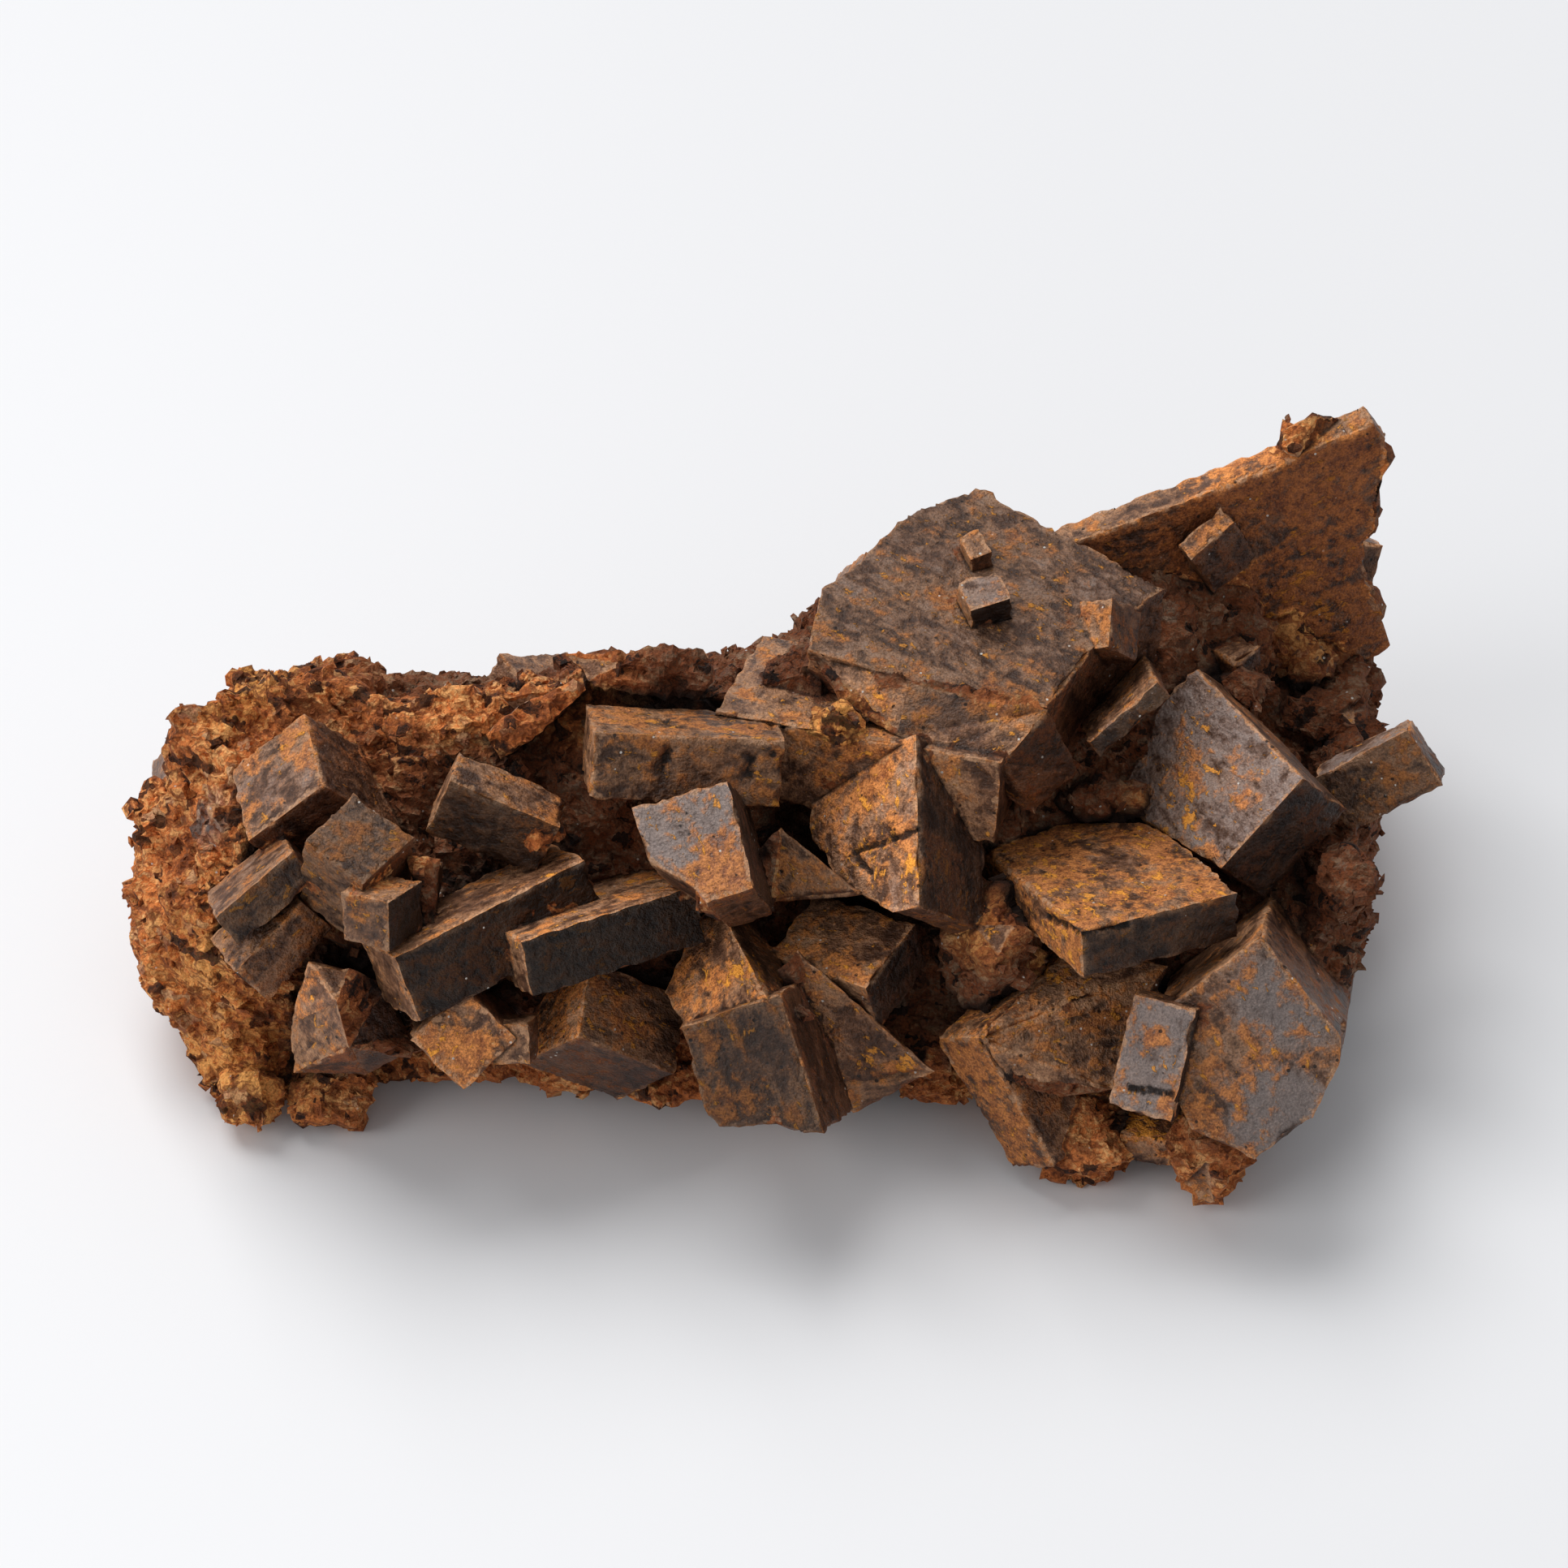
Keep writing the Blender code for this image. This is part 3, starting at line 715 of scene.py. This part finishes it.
def buildCluster():
    bm = mergedCopy("limonite_cluster")
    group, count = flatGroups(bm)
    isCrystal = sortFaces(bm, group, count)
    frames = faceFrames(bm, group, isCrystal)
    print("flat groups", count, "of them crystal faces", sum(isCrystal))
    tree = BVHTree.FromBMesh(bm)
    looks = findLooks(tree, [face[group] for face in bm.faces],
                      [number for number in range(count) if isCrystal[number]])
    marks = findSpots(tree)
    hollow = bm.verts.layers.float.new("hollow")
    toCrack = borderFinder(findCracks(tree))
    splitFiner(bm, group, isCrystal, hollow, toCrack)
    bm.normal_update()
    print("cut finer:", len(bm.faces), "triangles")
    outer, inner = bordersOf(bm, group, isCrystal)
    toOuter, toInner = borderFinder(outer), borderFinder(inner)
    rim = [toOuter(vert.co) for vert in bm.verts]
    nook = [toInner(vert.co) for vert in bm.verts]
    crack = [toCrack(vert.co) for vert in bm.verts]
    crust = []
    for vert in bm.verts:
        kinds = [isCrystal[face[group]] for face in vert.link_faces]
        crust.append(1 - sum(kinds) / len(kinds))
    spotted = {finish: [spotStrength(vert.co, places) for vert in bm.verts]
               for finish, places in marks.items()}
    corners = []
    for face in bm.faces:
        number = face[group]
        for vert in face.verts:
            if number in frames:
                length, start, along, across = frames[number]
                away = (vert.co - start) / millimetre
                corners += [away.dot(along), away.dot(across), number * 3.7 % 50]
            else:
                corners += list(vert.co / millimetre)
    carve(bm, group, isCrystal, crack)
    numbers = [face[group] for face in bm.faces]
    edgeLimit = math.radians(24)
    for edge in bm.edges:
        if len(edge.link_faces) == 2:
            one, two = [face[group] for face in edge.link_faces]
            border = one != two and (isCrystal[one] or isCrystal[two])
            edge.smooth = not (border and edge.calc_face_angle() > edgeLimit)
    for face in bm.faces:
        face.smooth = isCrystal[face[group]]
    mesh = bpy.data.meshes.new("limonite_cluster_surface")
    bm.to_mesh(mesh)
    bm.free()
    faceAttribute(mesh, "crystal", [float(isCrystal[number]) for number in numbers])
    faceAttribute(mesh, "tone", [number * 0.618 % 1 for number in numbers])
    for finish in ("slate", "rust", "ochre"):
        spotted.setdefault(finish, [0.0] * len(rim))
    plain = (0, 0, 0, 0)
    for index, name in enumerate(("slateFace", "rustFace", "ochreFace", "paintedShadeFace")):
        faceAttribute(mesh, name, [looks.get(number, plain)[index] for number in numbers])
    pointAttribute(mesh, "rim", rim)
    pointAttribute(mesh, "nook", nook)
    pointAttribute(mesh, "crust", crust)
    pointAttribute(mesh, "crack", crack)
    for finish, values in spotted.items():
        pointAttribute(mesh, finish + "Spot", values)
    onFace = mesh.attributes.new("onFace", "FLOAT_VECTOR", "CORNER")
    onFace.data.foreach_set("vector", corners)
    piece = bpy.data.objects.new("limonite_cluster_surface", mesh)
    bpy.context.scene.collection.objects.link(piece)
    return piece


def spotStrength(point, places):
    total = 0.0
    for middle, size, strength in places:
        gap = (point - middle).length / size
        if gap < 1:
            total = max(total, strength * (1 - gap * gap))
    return total


# The cluster's finish: satin brown crystals, rusty crust

finishes = {
    "umber": (0.090, 0.042, 0.023),
    "brown": (0.325, 0.160, 0.085),
    "tan": (0.620, 0.355, 0.200),
    # grey for crust grains, and painted sheen on crystal faces
    "slate": (0.290, 0.240, 0.222),
    "rustDeep": (0.270, 0.082, 0.024),
    "rust": (0.700, 0.275, 0.072),
    "ochre": (0.850, 0.370, 0.060),
    # near-black for pits, cracks, dark grains and inner corners, and for painted shade in hollows
    "sootAndShade": (0.012, 0.006, 0.004),
    "earthDeep": (0.230, 0.068, 0.020),
    "earth": (0.760, 0.265, 0.075),
    "earthPale": (0.950, 0.510, 0.200),
    "speck": (0.800, 0.770, 0.720),
}


# Where the crust is bright rust, in millimetres
crustBright = {
    "wallFrom": -24.5,          # the left wall, along X
    "rimAbove": 15.6,           # the upper rim of the left half
    "rimUntil": -9.0,
    "footBelow": 3.2,
}


def limoniteFinish():
    f = Finish("limonite")
    here = f.stretch(f.place(), (1000, 1000, 1000))
    onFace = f.attribute("onFace", output=1)
    names = ("crust", "hollow", "rim", "nook", "crack", "tone", "paintedShadeFace")
    crust, hollow, rim, nook, crack, tone, paintedShade = [f.attribute(name) for name in names]
    slate, rust, ochre = [f.attribute(name + "Face") + f.attribute(name + "Spot")
                          for name in ("slate", "rust", "ochre")]
    broad = f.noise(here, 0.30, 2, 0.5)
    patch = f.noise(here, 0.75, 4, 0.60, 0.3)
    mottle = f.noise(here, 2.3, 4, 0.62)
    grain = f.noise(here, 9.5, 2, 0.7)
    smear = f.noise(f.stretch(onFace, (0.55, 1.0, 1)), 1.0, 5, 0.60, 0.5)
    streak = f.noise(f.stretch(onFace, (0.30, 4.5, 1)), 1.0, 2, 0.6)
    streaky = tone.step(0.45, 0.75)

    # Crystal faces
    colour = f.blend((smear * 0.6 + mottle * 0.4).step(0.37, 0.62), finishes["umber"], finishes["brown"])
    film = (mottle * 0.30 + grain * 0.12 + smear * 0.58 + (broad - 0.5) * 0.5).step(0.41, 0.65)
    colour = f.blend(film * 0.75, colour, finishes["tan"])
    colour = f.blend(streak.step(0.46, 0.30) * streaky * 0.5, colour, finishes["umber"])
    # Painted sheen: grey-blue patches stand in for the reflection of the pale room on the satin faces
    paintedSheen = (slate + (smear - 0.5) * 1.8 + (mottle - 0.5) * 0.9).step(0.25, 0.85)
    colour = f.blend(paintedSheen * 0.85, colour, finishes["slate"])
    rusty = patch * 0.38 + smear * 0.37 + mottle * 0.25 + rust * 0.10 + (broad - 0.5) * 0.25
    rusty = rusty.step(0.515, 0.605)
    rustTone = f.blend((mottle * 0.7 + grain * 0.3).step(0.34, 0.64), finishes["rustDeep"], finishes["rust"])
    colour = f.blend(rusty * 0.85, colour, rustTone)
    flecks = f.noise(f.stretch(onFace, (0.85, 1.3, 1)), 1.5, 4, 0.66, 0.3)
    golden = (flecks + ochre * 0.13 + (broad - 0.5) * 0.2).step(0.615, 0.675)
    colour = f.blend(golden * 0.9, colour, finishes["ochre"])
    # Outer corners turn lighter tan and rust: partly wear, partly a painted highlight along the edge
    wearAndPaintedHighlight = (rim + (mottle - 0.5) * 1.3).step(0.20, 0.02)
    wearAndHighlightTone = f.blend(mottle.step(0.45, 0.55), finishes["tan"], finishes["rust"])
    colour = f.blend(wearAndPaintedHighlight * 0.7, colour, wearAndHighlightTone)
    pits = f.cells(here, 1.5).step(0.16, 0.10) * patch.step(0.50, 0.54)
    colour = f.blend(pits * 0.85, colour, finishes["sootAndShade"])
    # Painted shade: faces turned away from the upper left, where the lamps stand, are darkened
    normal = f.make("ShaderNodeNewGeometry", output=1)
    facingLight = f.make("ShaderNodeVectorMath", {"operation": "DOT_PRODUCT"}, normal, (-0.62, -0.05, 0.78), output=1)
    paintedShadeAway = facingLight.step(0.42, -0.12)
    colour = f.blend(paintedShadeAway * 0.90, colour, (0.28, 0.20, 0.16), "MULTIPLY")
    # Painted shade on each face, and painted light where its amount is negative
    colour = f.blend(1.0, colour, 1 - paintedShade * 0.75, "MULTIPLY")

    # Crust: grains of many browns with dark gaps
    jitter = f.make("ShaderNodeVectorMath", {"operation": "ADD"}, f.stretch(here, (0.8, 1.2, 1.4)),
                    f.stretch(f.make("ShaderNodeTexNoise", {}, Vector=here, Scale=1.6, Detail=2.0, output=1),
                              (1.2, 1.2, 1.2)))
    coarse, fine = f.cells(jitter, 1.3), f.cells(jitter, 3.6)
    coarseTone, fineTone = [f.make("ShaderNodeSeparateXYZ", None, Wire(f, cells.socket.node.outputs["Color"]))
                            for cells in (coarse, fine)]
    grainTone = coarseTone * 0.35 + fineTone * 0.35 + (mottle - 0.5) * 1.1 + (broad - 0.5) * 0.5 + 0.16
    earthy = f.blend(grainTone.step(0.08, 0.42), finishes["earthDeep"], finishes["earth"])
    earthy = f.blend((grainTone + ochre * 0.3).step(0.46, 0.80), earthy, finishes["earthPale"])
    across, deep, high = [f.make("ShaderNodeSeparateXYZ", None, here, output=index) for index in range(3)]
    wavy = (broad - 0.5) * 9 + (patch - 0.5) * 5
    leftWall = (across + wavy).step(crustBright["wallFrom"] + 9, crustBright["wallFrom"])
    upperRim = (high + wavy * 0.2).step(crustBright["rimAbove"] - 1.2, crustBright["rimAbove"]) \
        * across.step(crustBright["rimUntil"] + 4, crustBright["rimUntil"])
    foot = (high + wavy * 0.3).step(crustBright["footBelow"] + 3, crustBright["footBelow"])
    bright = leftWall.most(upperRim).most(foot * 0.8).most((rust.most(ochre) * 1.2).least(1))
    earthy = f.blend((1 - bright) * 0.92, earthy, (0.25, 0.30, 0.52), "MULTIPLY")
    earthy = f.blend(ochre.least(1) * grainTone.step(0.20, 0.55) * 0.7, earthy, finishes["ochre"])
    earthy = f.blend(coarseTone.step(0.17, 0.10) * 0.85, earthy, finishes["sootAndShade"])
    # Grey crust grains, with painted sheen where a grey-and-sheen amount is set
    greyBits = (slate + coarseTone.step(0.93, 0.96) * 0.5).least(1)
    earthy = f.blend(greyBits * (bright * 0.5 + 0.3), earthy, finishes["slate"])
    earthy = f.blend(broad.step(0.58, 0.40) * 0.55, earthy, (0.55, 0.45, 0.40), "MULTIPLY")
    gaps = (fine * 0.5 + coarse * 0.5 + (grain - 0.5) * 0.5).step(0.46, 0.68)
    earthy = f.blend(gaps * 0.75, earthy, finishes["earthDeep"])
    creeping = ((0.9 - nook) * 0.35 + crust * 1.5 + (patch - 0.5) * 1.8).step(0.34, 0.44)
    colour = f.blend(creeping, colour, earthy)
    # Painted shade: where the cluster blocks much of what a point faces, mostly on the crust, the colour darkens
    # to near-black
    colour = f.blend(hollow.step(0.30, 0.72) * (crust * 0.65 + 0.30), colour, finishes["sootAndShade"])
    # Darker, near-black, along inner corners between faces
    darkInnerCorners = (nook + (mottle - 0.5) * 0.5).step(0.18, 0.0)
    colour = f.blend(darkInnerCorners * 0.6, colour, finishes["sootAndShade"])

    gash = (crack + (mottle - 0.5) * 0.45).step(0.24, 0.10)
    colour = f.blend(gash * 0.9, colour, finishes["sootAndShade"])
    specks = f.cells(here, 1.25).step(0.085, 0.06) * broad.step(0.50, 0.56)
    colour = f.blend(specks * 0.8, colour, finishes["speck"])
    colour = f.make("ShaderNodeGamma", None, colour, 1.12)
    colour = f.blend(0.6, colour, grain.step(0.25, 0.75) + 0.66, "MULTIPLY")

    shader = f.shader
    shader.inputs["Specular IOR Level"].default_value = 0.34
    f.plug(shader.inputs["Base Color"], colour)
    rough = 0.43 + (mottle - 0.5) * 0.5 + rusty * 0.25 + golden * 0.2 - paintedSheen * 0.10
    f.plug(shader.inputs["Roughness"], (rough + creeping * 0.45).least(0.92).most(0.28))
    faceHeight = grain * 0.04 + mottle * 0.28 + smear * 0.20 + rusty * 0.04 + golden * 0.07
    crustHeight = grain * 0.10 + mottle * 0.35 + coarseTone * 0.22 + fineTone * 0.12 - coarse * 0.15
    height = faceHeight + (crustHeight - faceHeight) * crust
    f.plug(shader.inputs["Normal"], f.bump(height, millimetre))
    return f


# Crumbs: angular bits of crust and tiny crystals that lie on the crust

crumbs = {
    "count": 4600,
    "smallest": 0.14,           # mm
    "largest": 0.60,
    "corners": 9,
    "cubeShare": 0.10,
    "sink": 0.02,
    "seed": 11,
}


def chipShape(chance, size, asCube):
    # An angular chip, or a small cube
    bm = bmesh.new()
    if asCube:
        bmesh.ops.create_cube(bm, size=size * 1.3)
    else:
        for turn in range(crumbs["corners"]):
            way = Vector([chance.gauss(0, 1) for axis in range(3)]).normalized()
            bm.verts.new(Vector((way.x, way.y * 0.7, way.z * 0.4)) * size * chance.uniform(0.8, 1.1))
        bmesh.ops.convex_hull(bm, input=bm.verts)
        bmesh.ops.delete(bm, geom=[vert for vert in bm.verts if not vert.link_faces], context="VERTS")
    bmesh.ops.triangulate(bm, faces=bm.faces)
    return bm


def scatterCrumbs(base):
    chance = random.Random(crumbs["seed"])
    mesh = base.data
    crust = mesh.attributes["crust"].data
    hollow = mesh.attributes["hollow"].data
    spots = []
    weights = []
    for face in mesh.polygons:
        if min(crust[index].value for index in face.vertices) > 0.9:
            spots.append(face)
            weights.append(face.area)
    places, faces, tones, hollows = [], [], [], []
    for face in chance.choices(spots, weights, k=crumbs["count"]):
        size = crumbs["smallest"] + (crumbs["largest"] - crumbs["smallest"]) * chance.random() ** 2.2
        chip = chipShape(chance, size * millimetre, chance.random() < crumbs["cubeShare"])
        turn = Vector([chance.gauss(0, 1) for axis in range(3)]).to_track_quat("Z", "Y").to_matrix()
        middle = face.center + face.normal * size * crumbs["sink"] * millimetre
        start = len(places)
        chip.verts.index_update()
        for vert in chip.verts:
            place = middle + turn @ vert.co
            place.z = max(place.z, 0)
            places.append(place)
            hollows.append(hollow[face.vertices[0]].value)
        tone = chance.random()
        for side in chip.faces:
            faces.append([start + vert.index for vert in side.verts])
            tones.append(tone)
        chip.free()
    crumbMesh = bpy.data.meshes.new("crumbs")
    crumbMesh.from_pydata(places, [], faces)
    pointAttribute(crumbMesh, "hollow", hollows)
    pointAttribute(crumbMesh, "crust", [1.0] * len(places))
    pointAttribute(crumbMesh, "rim", [cluster["borderReach"]] * len(places))
    pointAttribute(crumbMesh, "nook", [cluster["borderReach"]] * len(places))
    pointAttribute(crumbMesh, "crack", [cluster["borderReach"]] * len(places))
    faceAttribute(crumbMesh, "tone", tones)
    piece = bpy.data.objects.new("crumbs", crumbMesh)
    bpy.context.scene.collection.objects.link(piece)
    print("crumbs:", len(faces), "triangles")
    return piece


finish = limoniteFinish()
surface = buildCluster()
finish.wear(surface)
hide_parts("limonite_cluster")
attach(surface, "root")

grains = scatterCrumbs(surface)
finish.wear(grains)
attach(grains, "root")
